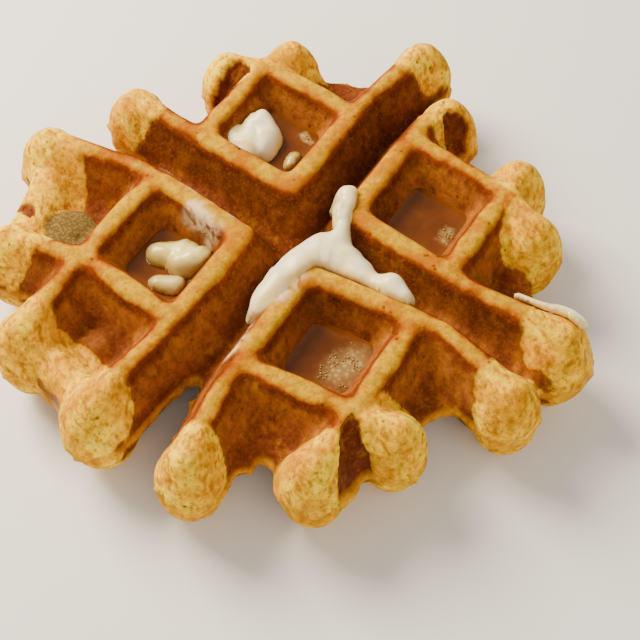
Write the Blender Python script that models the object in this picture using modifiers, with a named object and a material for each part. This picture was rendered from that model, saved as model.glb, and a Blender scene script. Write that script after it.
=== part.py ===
"""A deep round waffle, baked in four quarters and served with butter and syrup.

The waffle lies flat on the ridges of its underside, with the crossing of its two
grooves over the origin.  One groove runs along X and the other along Y.  Batter
filled the channels of the iron from the middle outwards, so every ridge ends in a
fat round lobe and the thin webs between the lobes end in hollow curves.
Lengths are in millimetres here, and the meshes are made in metres.
"""

from typing import NamedTuple

import bmesh
import bpy
import numpy as np
from mathutils import Matrix, Vector
from mathutils.bvhtree import BVHTree

MM = 0.001

# The iron: what it leaves in every quarter
THICKNESS = 29.0
WEB = 4.8
PITCH = 28.0
FIRST_RIDGE = 8.74
RIDGE_TOP = 4.4
WALL_SLOPE = 2.4
CROWN = 1.4
FLOOR_CORNER = 1.2
RIDGE_CORNER = 1.4

# The batter: how it ends where it met no iron
RIDGE_REACH = 7.9
LOBE_HEIGHT = 26.8
LOBE_WIDENING = 1.4
FRONT_ROUNDNESS = 0.62
FRONT_LEAST = 0.4
HUB_RADIUS = 42.0
EDGE_FILLET = 3.0
LOBE_FILLET = 1.5

# The solid's surface
PLAN_PITCH = 1.0
VOXEL = 1.0
SMOOTHING_ROUNDS = 3
WAFFLE_TRIANGLES = 9600
REST_FLAT = 0.25
THINNEST = 0.3

# Butter and syrup
GAP = 0.35
BUTTER_PITCH = 1.25
BUTTER_EDGE = 5.0
BUTTER_SIDE = 4.0
SYRUP_PITCH = 1.3
CLEARANCE_REACH = 0.8
POCKET_HALF = 12.5

HALF = THICKNESS / 2
POCKET_MIDDLE = FIRST_RIDGE + PITCH / 2


class Front(NamedTuple):
    """A swelling along the free edge of a web, from one lobe to the next."""

    start: tuple
    end: tuple
    radius: float
    height: float


class Quarter(NamedTuple):
    """One quarter, seen with its inner corner at the origin and both axes pointing outwards.

    A ridge that runs along u drifts sideways by lean_u, and one along v by lean_v.
    Each lobe is the place and radius of a ridge's round end.
    """

    side: tuple
    shift: tuple
    lean_u: float
    lean_v: float
    lobes: dict
    web_reach: dict
    fronts: tuple
    syrup_level: float


QUARTERS = {
    "near": Quarter(
        side=(-1, -1),
        shift=(-0.1, 0.6),
        lean_u=0.032,
        lean_v=-0.13,
        lobes={
            "wall_u": (63.5, 13.5, 8.0),
            "wall_v": (10.4, 63.5, 7.9),
            "inner_u": (49.9, 37.1, 7.8),
            "inner_v": (32.5, 47.1, 8.0),
        },
        web_reach={"u": 61.5, "v": 56.0, "corner": 59.5},
        fronts=(),
        syrup_level=19.6,
    ),
    "left": Quarter(
        side=(-1, 1),
        shift=(-0.2, 0.7),
        lean_u=-0.004,
        lean_v=-0.082,
        lobes={
            "wall_u": (64.0, 12.0, 9.0),
            "wall_v": (12.4, 67.5, 8.6),
            "inner_u": (58.0, 37.4, 8.2),
            "inner_v": (41.0, 56.5, 8.4),
        },
        web_reach={"u": 68.0, "v": 66.0, "corner": 62.0},
        fronts=(
            Front((57.5, 34.0), (61.5, 15.0), 6.0, 8.4),
            Front((37.0, 56.0), (15.0, 63.5), 6.4, 9.4),
        ),
        syrup_level=19.6,
    ),
    "far": Quarter(
        side=(1, 1),
        shift=(-0.1, -0.6),
        lean_u=-0.002,
        lean_v=0.03,
        lobes={
            "wall_u": (64.3, 4.9, 8.6),
            "wall_v": (10.0, 57.4, 8.4),
            "inner_u": (45.8, 34.1, 8.0),
            "inner_v": (33.5, 45.0, 8.2),
        },
        web_reach={"u": 59.0, "v": 51.0, "corner": 56.0},
        fronts=(),
        syrup_level=20.4,
    ),
    "right": Quarter(
        side=(1, -1),
        shift=(-0.1, -0.5),
        lean_u=-0.007,
        lean_v=-0.075,
        lobes={
            "wall_u": (51.4, 10.9, 8.2),
            "wall_v": (8.0, 65.0, 10.0),
            "inner_u": (44.0, 35.5, 8.0),
            "inner_v": (31.5, 46.5, 8.2),
        },
        web_reach={"u": 44.0, "v": 61.0, "corner": 60.0},
        fronts=(),
        syrup_level=19.8,
    ),
}

# A hole baked through the thin web of the near quarter, near its edge
WEB_HOLE = (-52.3, -25.6)
WEB_HOLE_RADIUS = 1.9


class Dab(NamedTuple):
    """A point on a piece of butter: its place, radius and the height of its top."""

    x: float
    y: float
    radius: float
    top: float


# Each piece is one or more chains of dabs, and the butter is drawn out from each to the next
BUTTER = {
    "butter_centre": (
        (
            Dab(13.4, -5.0, 2.8, 30.6),
            Dab(10.8, -6.5, 2.5, 30.2),
            Dab(7.2, -7.9, 1.9, 29.8),
            Dab(4.4, -9.2, 1.7, 29.5),
            Dab(0.6, -9.8, 3.6, 29.6),
            Dab(-5.0, -7.4, 4.4, 30.0),
            Dab(-9.5, -6.2, 4.3, 30.0),
            Dab(-14.5, -5.4, 4.0, 29.4),
            Dab(-19.0, -5.2, 3.6, 28.6),
            Dab(-23.0, -5.0, 3.0, 27.2),
        ),
        (
            Dab(-3.0, -8.8, 5.4, 30.2),
            Dab(-2.6, -14.0, 4.8, 29.6),
            Dab(-3.2, -18.4, 4.0, 29.2),
            Dab(-4.4, -22.4, 3.0, 28.6),
            Dab(-3.4, -27.0, 3.8, 30.4),
            Dab(-4.2, -31.4, 2.6, 29.8),
        ),
    ),
    "butter_far": (
        (
            Dab(17.8, 31.4, 2.8, 23.8),
            Dab(23.6, 28.2, 3.3, 26.4),
            Dab(21.6, 24.6, 3.4, 25.8),
            Dab(17.8, 23.6, 3.2, 24.6),
        ),
        (Dab(17.8, 31.4, 2.8, 23.8), Dab(18.6, 27.6, 4.0, 25.0), Dab(17.8, 23.6, 3.2, 24.6)),
    ),
    "butter_far_small": ((Dab(18.2, 15.2, 2.4, 22.4), Dab(20.6, 15.8, 2.3, 22.4)),),
    "butter_left_upper": (
        (Dab(-21.4, 26.4, 3.4, 23.0), Dab(-18.0, 21.0, 4.0, 23.6)),
        (Dab(-21.4, 19.8, 3.0, 24.6), Dab(-17.6, 16.6, 3.2, 25.6)),
    ),
    "butter_left_lower": ((Dab(-28.6, 21.6, 2.8, 22.0), Dab(-26.4, 17.6, 2.8, 22.4)),),
}

# A melted strip that clings to the shoulder of the right quarter's longest lobe
STRIP = (
    (13.2, -52.6, 1.5),
    (13.6, -58.6, 2.4),
    (14.6, -64.0, 2.2),
    (13.8, -68.0, 1.9),
)
STRIP_THICKNESS = 1.6

DOUGH_COLOUR = (0.60, 0.27, 0.035, 1.0)
BUTTER_COLOUR = (0.90, 0.83, 0.55, 1.0)
SYRUP_COLOUR = (0.13, 0.035, 0.012, 1.0)


def soft_min(a, b, width):
    """The lesser of a and b, with their meeting rounded over width."""
    share = np.clip(0.5 + 0.5 * (b - a) / width, 0, 1)
    return b * (1 - share) + a * share - width * share * (1 - share)


def soft_max(a, b, width):
    return -soft_min(-a, -b, width)


def dome(distance, radius):
    """A half ellipse that falls from 1 at the middle to 0 at the radius."""
    return np.sqrt(np.clip(1 - (distance / radius) ** 2, 0, 1))


def along(x, y, start, end):
    """Distance from the line between two points, and how far along it the nearest point is."""
    run = np.subtract(end, start)
    reach_x, reach_y = x - start[0], y - start[1]
    share = np.clip((reach_x * run[0] + reach_y * run[1]) / max(run @ run, 1e-9), 0, 1)
    return np.hypot(reach_x - share * run[0], reach_y - share * run[1]), share


def beyond_panel(x, y, corners):
    """Distance outside a flat panel with these corners, and negative inside it."""
    distance = np.full(x.shape, np.inf)
    inside = np.zeros(x.shape, bool)
    for (ax, ay), (bx, by) in zip(corners, corners[1:] + corners[:1]):
        distance = np.minimum(distance, along(x, y, (ax, ay), (bx, by))[0])
        crosses = (ay > y) != (by > y)
        rise = by - ay if by != ay else 1e-9
        inside ^= crosses & (x < ax + (bx - ax) * (y - ay) / rise)
    return np.where(inside, -distance, distance)


def ridge_lines(quarter):
    """The centreline of each ridge in a quarter, ending in its lobe."""
    first, second = FIRST_RIDGE, FIRST_RIDGE + PITCH
    past = second + 6.0

    def drifted(u, v):
        return (
            u + quarter.shift[0] + quarter.lean_v * (v - POCKET_MIDDLE),
            v + quarter.shift[1] + quarter.lean_u * (u - POCKET_MIDDLE),
        )

    points = {
        "wall_u": [(first, first), (second, first), (past, first)],
        "wall_v": [(first, first), (first, second), (first, past)],
        "inner_u": [(first, second), (second, second)],
        "inner_v": [(second, first), (second, second)],
    }
    return {name: [drifted(*p) for p in row] + [quarter.lobes[name][:2]] for name, row in points.items()}


def point_at_reach(line, reach):
    """Where the last stretch of a ridge's line, drawn on if need be, is this far from the origin."""
    start, end = np.array(line[-2]), np.array(line[-1])
    for share in np.linspace(0, 1.2, 121):
        point = start + (end - start) * share
        if np.hypot(*point) >= reach:
            break
    return tuple(point)


def web_panels(quarter):
    """The thin dough between the ridges of a quarter, as flat panels."""
    lines = ridge_lines(quarter)
    reach = quarter.web_reach
    panels = []
    for axis in ("u", "v"):
        wall, inner = lines["wall_" + axis], lines["inner_" + axis]
        outer = [point_at_reach(wall, reach[axis]), point_at_reach(inner, reach[axis])]
        panels.append([wall[0], wall[1]] + outer + [inner[1], inner[0]])
    fan = [point_at_reach(lines["inner_" + axis], reach["corner"]) for axis in ("u", "v")]
    panels.append([lines["inner_u"][1]] + fan)
    return panels


def waffle_form(x, y):
    """Half the waffle's thickness over the plan, and the distance outside its outline."""
    mould = np.full(x.shape, -np.inf)
    lobes = np.zeros(x.shape)
    bars = np.full(x.shape, np.inf)
    webs = np.hypot(x, y) - HUB_RADIUS
    for quarter in QUARTERS.values():
        u, v = x * quarter.side[0], y * quarter.side[1]
        for name, line in ridge_lines(quarter).items():
            lobe_u, lobe_v, radius = quarter.lobes[name]
            for start, end in zip(line, line[1:]):
                distance, share = along(u, v, start, end)
                swell = share**2 if end == line[-1] else 0
                bars = np.minimum(bars, distance - RIDGE_REACH - swell * (radius - RIDGE_REACH))
                wall = HALF + WALL_SLOPE * (RIDGE_TOP / 2 - distance + swell * LOBE_WIDENING)
                mould = wall if np.isneginf(mould).all() else soft_max(mould, wall, RIDGE_CORNER)
            lobe = dome(np.hypot(u - lobe_u, v - lobe_v), radius)
            lobes = np.maximum(lobes, LOBE_HEIGHT / 2 * lobe)
        for front in quarter.fronts:
            distance = along(u, v, front.start, front.end)[0]
            bars = np.minimum(bars, distance - front.radius)
            lobes = np.maximum(lobes, front.height * dome(distance, front.radius))
        for panel in web_panels(quarter):
            webs = np.minimum(webs, beyond_panel(u, v, panel))
    outside = soft_min(bars, webs, EDGE_FILLET)
    outside = np.maximum(outside, WEB_HOLE_RADIUS - np.hypot(x - WEB_HOLE[0], y - WEB_HOLE[1]))
    mould = soft_max(soft_min(mould, HALF, CROWN), WEB / 2, FLOOR_CORNER)
    rounding = FRONT_ROUNDNESS * mould + FRONT_LEAST
    half = mould * dome(rounding - np.clip(-outside, 0, rounding), rounding)
    half = np.minimum(soft_max(half, lobes, LOBE_FILLET), HALF)
    return half, outside


def coordinates(verts):
    return np.array([v.co for v in verts])


def solid_between(name, low_corner, high_corner, pitch, form):
    """A closed mesh over the part of a plan rectangle where form's last value is negative.

    form(x, y) gives the heights of the underside and the top, and how far outside a point is.
    Both faces are the same grid, and they meet in an edge along the outline.
    """
    size = np.subtract(high_corner, low_corner)
    steps = np.ceil(size / pitch).astype(int)
    middle = np.add(high_corner, low_corner) / 2
    place = Matrix.Translation((*middle, 0)) @ Matrix.Diagonal((*size, 1, 1))
    grid = bmesh.new()
    bmesh.ops.create_grid(grid, x_segments=steps[0], y_segments=steps[1], size=0.5, matrix=place)

    where = coordinates(grid.verts)
    outside = form(where[:, 0], where[:, 1])[2] >= 0
    empty = [face for face in grid.faces if all(outside[v.index] for v in face.verts)]
    bare = [v for v in grid.verts if all(outside[w.index] for f in v.link_faces for w in f.verts)]
    rim = [v for v in grid.verts if outside[v.index] and v not in set(bare)]
    inner = [
        np.mean([w.co for f in v.link_faces for w in f.verts if not outside[w.index]], axis=0) for v in rim
    ]
    draw_in(rim, np.array(inner), form)
    bmesh.ops.delete(grid, geom=empty, context="FACES_ONLY")
    bmesh.ops.delete(grid, geom=bare, context="VERTS")

    edge = set(rim)
    split_inwards(grid, edge)
    copy = bmesh.ops.duplicate(grid, geom=grid.verts[:] + grid.edges[:] + grid.faces[:])
    lower = [item for item in copy["geom"] if isinstance(item, bmesh.types.BMVert)]
    lower_edge = {copy["vert_map"][v] for v in edge}
    faces = [item for item in copy["geom"] if isinstance(item, bmesh.types.BMFace)]
    bmesh.ops.reverse_faces(grid, faces=faces)
    lower_set = set(lower)
    set_heights([v for v in grid.verts if v not in lower_set], edge, form, 1)
    set_heights(lower, lower_edge, form, 0)
    bmesh.ops.remove_doubles(grid, verts=list(edge | lower_edge), dist=1e-5)
    bmesh.ops.scale(grid, vec=(MM, MM, MM), verts=grid.verts)

    mesh = bpy.data.meshes.new(name)
    grid.to_mesh(mesh)
    grid.free()
    return bpy.data.objects.new(name, mesh)


def draw_in(rim, inner, form):
    """Moves each vertex just outside the outline straight towards its neighbours, onto the outline."""
    outer = coordinates(rim)
    for _ in range(14):
        middle = (outer + inner) / 2
        out = form(middle[:, 0], middle[:, 1])[2] >= 0
        outer[out], inner[~out] = middle[out], middle[~out]
    for vertex, point in zip(rim, outer):
        vertex.co = point


def split_inwards(grid, rim):
    """Cuts the squares into triangles, so that nothing inside the sheet runs from rim to rim."""

    def cut(face, corner):
        corners = face.verts[:]
        opposite = corners[(corners.index(corner) + 2) % 4]
        bmesh.utils.face_split(face, corner, opposite)

    for face in grid.faces[:]:
        cut(face, next(v for v in face.verts if v not in rim))
    for edge in [e for e in grid.edges if len(e.link_faces) == 2 and rim.issuperset(e.verts)]:
        middle = bmesh.utils.edge_split(edge, edge.verts[0], 0.5)[1]
        for face in middle.link_faces[:]:
            cut(face, middle)


def set_heights(verts, rim, form, face):
    """Lifts one face of a solid to its height. Both faces have their rim at the underside's height."""
    where = coordinates(verts)
    low, high = form(where[:, 0], where[:, 1])[:2]
    own = np.maximum(high, low + THINNEST) if face else low
    for vertex, edge_height, height in zip(verts, low, own):
        vertex.co.z = edge_height if vertex in rim else height


def baked_mesh(part):
    """The part's mesh with its modifiers carried out."""
    bpy.context.view_layer.update()
    evaluated = part.evaluated_get(bpy.context.evaluated_depsgraph_get())
    return bpy.data.meshes.new_from_object(evaluated)


def modify(part, kind, **settings):
    modifier = part.modifiers.new(kind.title(), kind)
    for key, value in settings.items():
        setattr(modifier, key, value)


def material(name, colour, roughness):
    made = bpy.data.materials.new(name)
    made.use_nodes = True
    shader = made.node_tree.nodes["Principled BSDF"]
    shader.inputs["Base Color"].default_value = colour
    shader.inputs["Roughness"].default_value = roughness
    shader.inputs["Metallic"].default_value = 0.0
    made.diffuse_color = colour
    return made


def add_part(collection, part, finish):
    collection.objects.link(part)
    part.data.materials.append(finish)
    part.data.shade_smooth()


def make_waffle(collection, finish):
    """The dough, pressed by the iron on both faces, with flats where it stands."""
    reach = 80.0

    def form(x, y):
        half, outside = waffle_form(x, y)
        half = np.where(outside < 0, half, 0)
        return -half, half, outside

    waffle = solid_between("waffle", (-reach, -reach), (reach, reach), PLAN_PITCH, form)
    add_part(collection, waffle, finish)
    modify(waffle, "REMESH", mode="VOXEL", voxel_size=VOXEL * MM, use_smooth_shade=True)
    modify(waffle, "SMOOTH", factor=0.5, iterations=SMOOTHING_ROUNDS)
    dense = baked_mesh(waffle)
    modify(waffle, "DECIMATE", ratio=WAFFLE_TRIANGLES / (2 * len(dense.polygons)))
    mesh = baked_mesh(waffle)
    waffle.modifiers.clear()
    waffle.data = mesh
    bpy.data.meshes.remove(dense)

    lowest = min(v.co.z for v in mesh.vertices) + REST_FLAT * MM
    for vertex in mesh.vertices:
        vertex.co.z = max(vertex.co.z - lowest, 0.0)
    return waffle


def surface_heights(waffle):
    """Gives a function for the height of the waffle's top, taking the highest point nearby."""
    tree = BVHTree.FromPolygons(
        [v.co.copy() for v in waffle.data.vertices], [p.vertices[:] for p in waffle.data.polygons]
    )
    above = 2 * THICKNESS * MM

    def height(x, y):
        hit = tree.ray_cast(Vector((x * MM, y * MM, above)), Vector((0, 0, -1)))[0]
        return hit.z / MM if hit else 0.0

    def highest(x, y, spread):
        ring = [(spread * np.cos(turn), spread * np.sin(turn)) for turn in np.linspace(0, 2 * np.pi, 9)[:-1]]
        places = [(0.0, 0.0)] + ring
        return np.array([max(height(px + dx, py + dy) for dx, dy in places) for px, py in zip(x, y)])

    return highest


def pocket_bounds(quarter):
    """The plan rectangle of a quarter's first pocket, out to the tops of its ridges."""
    middle = np.array(quarter.side) * (POCKET_MIDDLE + np.array(quarter.shift))
    return middle - POCKET_HALF, middle + POCKET_HALF


def make_syrup(collection, finish, highest):
    """A pool in the first pocket of each quarter, from its floor to the syrup's level."""
    for name, quarter in QUARTERS.items():

        def form(x, y):
            low = highest(x, y, CLEARANCE_REACH * SYRUP_PITCH) + GAP
            return low, np.full(x.shape, quarter.syrup_level), low - quarter.syrup_level

        low_corner, high_corner = pocket_bounds(quarter)
        pool = solid_between("syrup_" + name, low_corner, high_corner, SYRUP_PITCH, form)
        add_part(collection, pool, finish)


def syrup_top(x, y):
    """The level of the pool under a point, or nothing where there is none."""
    level = np.zeros(x.shape)
    for quarter in QUARTERS.values():
        low, high = pocket_bounds(quarter)
        within = (x > low[0]) & (x < high[0]) & (y > low[1]) & (y < high[1])
        level = np.where(within, quarter.syrup_level, level)
    return level


def butter_top(x, y, chains):
    """The top of a piece of butter: rounded over each dab, with a steep side below that."""
    top = np.full(x.shape, -np.inf)
    for chain in chains:
        for start, end in zip(chain, chain[1:]):
            distance, share = along(x, y, start[:2], end[:2])
            radius = start.radius + share * (end.radius - start.radius)
            crest = start.top + share * (end.top - start.top)
            side = BUTTER_SIDE * np.clip(distance - radius, 0, None)
            over = crest - BUTTER_EDGE + BUTTER_EDGE * dome(distance, radius) - side
            top = np.maximum(top, over)
    return top


def make_butter(collection, finish, highest):
    """Soft pieces whose undersides follow the waffle or the syrup that they lie on."""
    for name, chains in BUTTER.items():

        def form(x, y):
            low = np.maximum(highest(x, y, CLEARANCE_REACH * BUTTER_PITCH), syrup_top(x, y)) + GAP
            high = butter_top(x, y, chains)
            return low, high, low - high

        dabs = [dab for chain in chains for dab in chain]
        margin = 3 * BUTTER_PITCH
        low_corner = [min(dab[axis] - dab.radius for dab in dabs) - margin for axis in (0, 1)]
        high_corner = [max(dab[axis] + dab.radius for dab in dabs) + margin for axis in (0, 1)]
        piece = solid_between(name, low_corner, high_corner, BUTTER_PITCH, form)
        add_part(collection, piece, finish)


def make_strip(collection, finish, highest):
    """The thin strip of butter on a lobe's shoulder."""

    def form(x, y):
        outside = np.full(x.shape, np.inf)
        body = np.zeros(x.shape)
        for start, end in zip(STRIP, STRIP[1:]):
            distance, share = along(x, y, start[:2], end[:2])
            radius = start[2] + share * (end[2] - start[2])
            outside = np.minimum(outside, distance - radius)
            body = np.maximum(body, dome(distance, radius))
        low = highest(x, y, CLEARANCE_REACH * BUTTER_PITCH) + GAP
        return low, low + STRIP_THICKNESS * body, outside

    margin = 2 * BUTTER_PITCH
    low_corner = [min(point[axis] - point[2] for point in STRIP) - margin for axis in (0, 1)]
    high_corner = [max(point[axis] + point[2] for point in STRIP) + margin for axis in (0, 1)]
    add_part(collection, solid_between("butter_strip", low_corner, high_corner, BUTTER_PITCH, form), finish)


for old in list(bpy.data.objects):
    bpy.data.objects.remove(old, do_unlink=True)

waffle_collection = bpy.data.collections.new("waffle")
bpy.context.scene.collection.children.link(waffle_collection)

dough = material("baked_dough", DOUGH_COLOUR, 0.6)
butter = material("soft_butter", BUTTER_COLOUR, 0.35)
syrup = material("maple_syrup", SYRUP_COLOUR, 0.08)

highest_near = surface_heights(make_waffle(waffle_collection, dough))
make_syrup(waffle_collection, syrup, highest_near)
make_butter(waffle_collection, butter, highest_near)
make_strip(waffle_collection, butter, highest_near)
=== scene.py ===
"""The looks of a deep round waffle with butter and syrup: its baked surface, melted butter and pools."""

import math

import bmesh
import bpy
from mathutils import Matrix, Vector


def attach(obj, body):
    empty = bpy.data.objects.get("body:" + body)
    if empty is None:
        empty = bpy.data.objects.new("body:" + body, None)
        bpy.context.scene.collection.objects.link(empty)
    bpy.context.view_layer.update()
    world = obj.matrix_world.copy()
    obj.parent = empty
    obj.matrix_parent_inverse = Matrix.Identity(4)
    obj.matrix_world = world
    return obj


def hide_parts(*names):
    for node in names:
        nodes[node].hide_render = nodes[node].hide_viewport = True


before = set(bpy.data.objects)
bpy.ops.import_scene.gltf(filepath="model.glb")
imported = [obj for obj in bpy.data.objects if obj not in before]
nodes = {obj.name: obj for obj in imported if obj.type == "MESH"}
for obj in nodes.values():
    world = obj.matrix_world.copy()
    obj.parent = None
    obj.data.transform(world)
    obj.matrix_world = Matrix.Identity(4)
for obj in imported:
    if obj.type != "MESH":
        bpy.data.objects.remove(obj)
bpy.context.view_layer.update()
MM = 0.001


# The waffle: one piece of yeast batter, baked between two grid plates until its walls browned.
# Batter ran down the channels of the iron and stopped short of its rim, so each ridge ends in a
# pale, wrinkled lobe that no iron touched, and the webs between the lobes have thin torn edges.

MID_HEIGHT = 14.25

# For each quarter: its side in X and Y, where its lobes lie, and its swollen fronts between them
QUARTERS = {
    "near": {
        "side": (-1, -1),
        "lobes": [(63.5, 13.5), (10.4, 63.5), (49.9, 37.1), (32.5, 47.1)],
        "fronts": [],
    },
    "left": {
        "side": (-1, 1),
        "lobes": [(64.0, 12.0), (12.4, 67.5), (58.0, 37.4), (41.0, 56.5)],
        "fronts": [((57.5, 34.0), (61.5, 15.0)), ((37.0, 56.0), (15.0, 63.5))],
    },
    "far": {
        "side": (1, 1),
        "lobes": [(64.3, 4.9), (10.0, 57.4), (45.8, 34.1), (33.5, 45.0)],
        "fronts": [],
    },
    "right": {
        "side": (1, -1),
        "lobes": [(51.4, 10.9), (8.0, 65.0), (44.0, 35.5), (31.5, 46.5)],
        "fronts": [],
    },
}


def guide(name, paths):
    """An object with only edges, through each path's points, for a geometry tree to measure from."""
    points, edges = [], []
    for path in paths:
        edges += [(len(points) + i, len(points) + i + 1) for i in range(len(path) - 1)]
        points += [(x * MM, y * MM, 0) for x, y in path]
    mesh = bpy.data.meshes.new(name)
    mesh.from_pydata(points, edges, [])
    made = bpy.data.objects.new(name, mesh)
    bpy.context.scene.collection.objects.link(made)
    return made


def placed(quarter, path):
    """A path that is given in a quarter's own plan, on that quarter's side of the waffle."""
    side = quarter["side"]
    return [(side[0] * u, side[1] * v) for u, v in path]


# Each lobe is free from its middle outwards, the first and third along u and the others along v
FREE_LENGTH = 8.0
OUTWARDS = [(FREE_LENGTH, 0.0), (0.0, FREE_LENGTH)] * 2
lobe_paths = [
    placed(quarter, [(u, v), (u + along_u, v + along_v)])
    for quarter in QUARTERS.values()
    for (u, v), (along_u, along_v) in zip(quarter["lobes"], OUTWARDS)
]
lobe_guide = guide("lobe_guide", lobe_paths)
front_paths = [placed(q, front) for q in QUARTERS.values() for front in q["fronts"]]
# The fronts of the left quarter's two outer gaps are wide
WIDE_FRONTS = [[(-35.5, 51.5), (-17.0, 58.5)], [(-56.0, 29.0), (-57.0, 20.0)]]
front_guide = guide("front_guide", front_paths + WIDE_FRONTS)
# In those two gaps lie a lump of dripped batter and a puddle of foamy syrup: place and half widths
LUMPS = [((-49.8, 24.6, 15.0), (6.4, 5.6, 4.6)), ((-28.0, 48.5, 19.2), (6.8, 6.6, 3.0))]
PUDDLE_MIDDLE = [(-28.0, 48.0), (-28.0, 49.0)]
puddle_guide = guide("puddle_guide", [PUDDLE_MIDDLE])
# Where melted butter left a whitish film: beside the left arm, and on two ridges of the left pocket
FILMS = [
    [(-26.0, -3.0), (-31.0, -5.0), (-35.7, -6.2)],
    [(-9.8, 24.5), (-10.9, 21.0), (-12.0, 16.5)],
    [(-4.6, 27.0), (-3.9, 21.0), (-4.9, 14.0)],
    [(-13.0, -7.6), (-20.0, -8.0)],
]
film_guide = guide("film_guide", FILMS)
# Where the iron still reached the batter beside or between lobes, it left dark marks: triangles at the
# near corner and on a lobe of the right quarter, and patches on the far and the left quarter's lobes.
# Their darkness is partly that browning and partly painted shade of pits deeper than their recess
MARKS = [
    [(-38.0, -39.0), (-48.0, -44.5)],
    [(-38.0, -39.0), (-45.8, -46.5)],
    [(-38.0, -39.0), (-43.5, -48.0)],
    [(44.0, -18.0), (48.6, -12.4)],
    [(44.0, -18.0), (50.2, -14.2)],
    [(44.0, -18.0), (51.2, -16.0)],
    [(25.0, 42.5), (32.8, 39.6)],
    [(25.5, 44.0), (33.0, 41.2)],
    [(-29.6, 62.4), (-30.4, 58.8)],
]
mark_guide = guide("mark_guide", MARKS)


def merged_copy(name, node_name):
    """A new object with a CAD node's mesh, its doubled points merged."""
    joined = bmesh.new()
    joined.from_mesh(nodes[node_name].data)
    bmesh.ops.remove_doubles(joined, verts=joined.verts, dist=1e-6)
    mesh = bpy.data.meshes.new(name)
    joined.to_mesh(mesh)
    joined.free()
    made = bpy.data.objects.new(name, mesh)
    bpy.context.scene.collection.objects.link(made)
    return made


def outline_of(piece, height):
    """The loops where a level plane cuts a piece, as an object with only edges."""
    cut = bmesh.new()
    cut.from_mesh(piece.data)
    bmesh.ops.bisect_plane(
        cut,
        geom=cut.verts[:] + cut.edges[:] + cut.faces[:],
        plane_co=(0, 0, height),
        plane_no=(0, 0, 1),
        clear_inner=True,
        clear_outer=True,
    )
    mesh = bpy.data.meshes.new("outline_guide")
    cut.to_mesh(mesh)
    cut.free()
    made = bpy.data.objects.new("outline_guide", mesh)
    bpy.context.scene.collection.objects.link(made)
    return made


def add_balls(piece, balls):
    """Adds an ellipsoid to a piece's mesh for each place and size, to be fused to it afterwards."""
    joined = bmesh.new()
    joined.from_mesh(piece.data)
    for place, half_widths in balls:
        stretched = Matrix.Diagonal((*(Vector(half_widths) * MM), 1.0))
        where = Matrix.Translation(Vector(place) * MM) @ stretched
        bmesh.ops.create_icosphere(joined, subdivisions=3, radius=1.0, matrix=where)
    joined.to_mesh(piece.data)
    joined.free()


def bake(piece):
    """Carries out a piece's modifiers, leaving a plain mesh."""
    bpy.context.view_layer.update()
    evaluated = piece.evaluated_get(bpy.context.evaluated_depsgraph_get())
    mesh = bpy.data.meshes.new_from_object(evaluated)
    piece.modifiers.clear()
    piece.data = mesh


def close_grain(piece, voxel, rounds):
    """Gives a piece an even, fine and gently smoothed surface."""
    remesh = piece.modifiers.new("Remesh", "REMESH")
    remesh.mode = "VOXEL"
    remesh.voxel_size = voxel * MM
    remesh.use_smooth_shade = True
    smooth = piece.modifiers.new("Smooth", "SMOOTH")
    smooth.factor = 0.5
    smooth.iterations = rounds
    bake(piece)


def linear(code):
    """A colour given as sRGB hex, as the linear RGBA that shaders take."""
    shares = [int(code[i : i + 2], 16) / 255 for i in (1, 3, 5)]
    return tuple(s / 12.92 if s <= 0.04045 else ((s + 0.055) / 1.055) ** 2.4 for s in shares) + (1.0,)


def feed(tree, node, inputs):
    """Gives a node's inputs, in order or by name, values, sockets or the first outputs of nodes."""
    shown = [socket for socket in node.inputs if socket.enabled]
    for key, value in inputs.items() if isinstance(inputs, dict) else enumerate(inputs):
        socket = shown[key] if isinstance(key, int) else next(s for s in shown if s.name == key)
        if isinstance(value, bpy.types.Node):
            value = next(output for output in value.outputs if output.enabled)
        if isinstance(value, bpy.types.NodeSocket):
            tree.links.new(value, socket)
        else:
            socket.default_value = value


def add(tree, kind, inputs=(), **settings):
    """Adds a node with its settings, and feeds its inputs."""
    node = tree.nodes.new(kind)
    for name, value in settings.items():
        setattr(node, name, value)
    feed(tree, node, inputs)
    return node


def scale_of(size):
    """The scale of a pattern whose spots are this many millimetres across."""
    return 1.0 / (size * MM)


# The setting of a map range that eases in at both ends, as baked and wet borders do
EASED = {"interpolation_type": "SMOOTHSTEP"}


def material(name, build):
    """A new material, whose nodes build(tree, shader) makes."""
    made = bpy.data.materials.new(name)
    made.use_nodes = True
    build(made.node_tree, made.node_tree.nodes["Principled BSDF"])
    return made


# How brown the batter is from the ridge tops, at 0, down to the webs, at 1
BROWNING = (
    (0.0, "#be9400"),
    (0.035, "#b88600"),
    (0.065, "#a25a00"),
    (0.085, "#743408"),
    (0.15, "#6a3014"),
    (0.3, "#925620"),
    (0.66, "#884c24"),
    (0.82, "#6c361e"),
    (0.95, "#5c2a1a"),
)
LOBE_COLOURS = ((0.32, "#cc8c00"), (0.5, "#f0b802"), (0.64, "#ffde18"))


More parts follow.
